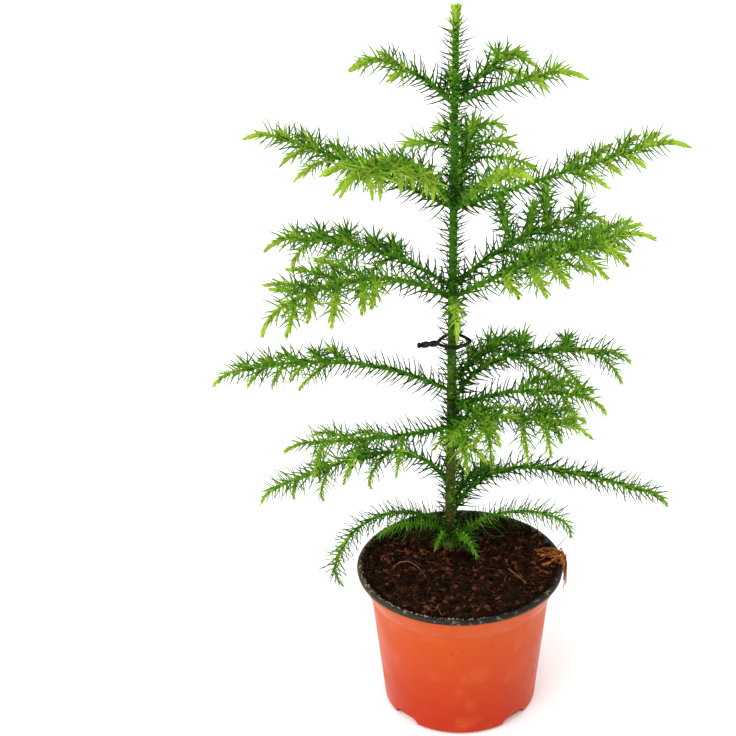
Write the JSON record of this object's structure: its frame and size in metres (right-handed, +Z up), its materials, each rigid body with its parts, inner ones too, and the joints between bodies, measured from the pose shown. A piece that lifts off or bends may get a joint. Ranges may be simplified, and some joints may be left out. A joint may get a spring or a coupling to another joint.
{
  "type": "potted norfolk island pine",
  "caption": "Young Norfolk Island pine with loose tiers of needled boughs, a wire stem tie and peat soil in a small terracotta-coloured pot with a dark liner rim.",
  "frame": {"origin": "centre of the pot's flat underside", "axes": "+Z up along the pot's axis, +X to the right and -Y to the front, as the picture shows the plant"},
  "size_m": [0.2843, 0.184, 0.411],
  "materials": {
    "terracotta": "satin terracotta plastic",
    "liner": "dusty dark plastic",
    "peat": "damp peat with coir",
    "trunk_bark": "young green bark",
    "bough_bark": "young green bark",
    "needles": "satin needles",
    "tie_wire": "dark plastic-coated wire"
  },
  "bodies": {
    "root": {"bough_tier1_left": "bough_bark", "bough_tier1_right": "bough_bark", "bough_tier2_right": "bough_bark", "bough_tier3_left": "bough_bark", "bough_tier4_left": "bough_bark", "bough_tier4_right": "bough_bark", "bough_tier5_back": "bough_bark", "bough_tier5_front_right": "bough_bark", "bough_tier5_left": "bough_bark", "bough_tier5_right": "bough_bark", "bough_tier6_back_left": "bough_bark", "bough_tier6_back_right": "bough_bark", "bough_tier6_front_left": "bough_bark", "bough_tier6_front_right": "bough_bark", "bough_tier7_back": "bough_bark", "bough_tier7_front_left": "bough_bark", "bough_tier7_front_right": "bough_bark", "bough_tier7_left": "bough_bark", "bough_tier7_right": "bough_bark", "bough_tier8_right": "bough_bark", "pot": "terracotta", "pot_rim": "liner", "soil": "peat", "spray_tier1_front": "needles", "spray_tier1_front_left": "needles", "spray_tier1_front_right": "needles", "spray_tier1_left": "needles", "spray_tier1_right": "needles", "spray_tier2_back": "needles", "spray_tier2_right": "needles", "spray_tier3_left": "needles", "spray_tier4_front": "needles", "spray_tier4_left": "needles", "spray_tier4_right": "needles", "spray_tier5_back": "needles", "spray_tier5_front": "needles", "spray_tier5_front_right": "needles", "spray_tier5_left": "needles", "spray_tier5_right": "needles", "spray_tier6_back_left": "needles", "spray_tier6_back_right": "needles", "spray_tier6_front": "needles", "spray_tier6_front_left": "needles", "spray_tier6_front_right": "needles", "spray_tier7_back": "needles", "spray_tier7_front_left": "needles", "spray_tier7_front_right": "needles", "spray_tier7_left": "needles", "spray_tier7_right": "needles", "spray_tier8_back": "needles", "spray_tier8_back_right": "needles", "spray_tier8_left": "needles", "spray_tier8_right": "needles", "stem_tie": "tie_wire", "trunk": "trunk_bark"}
  },
  "joints": []
}
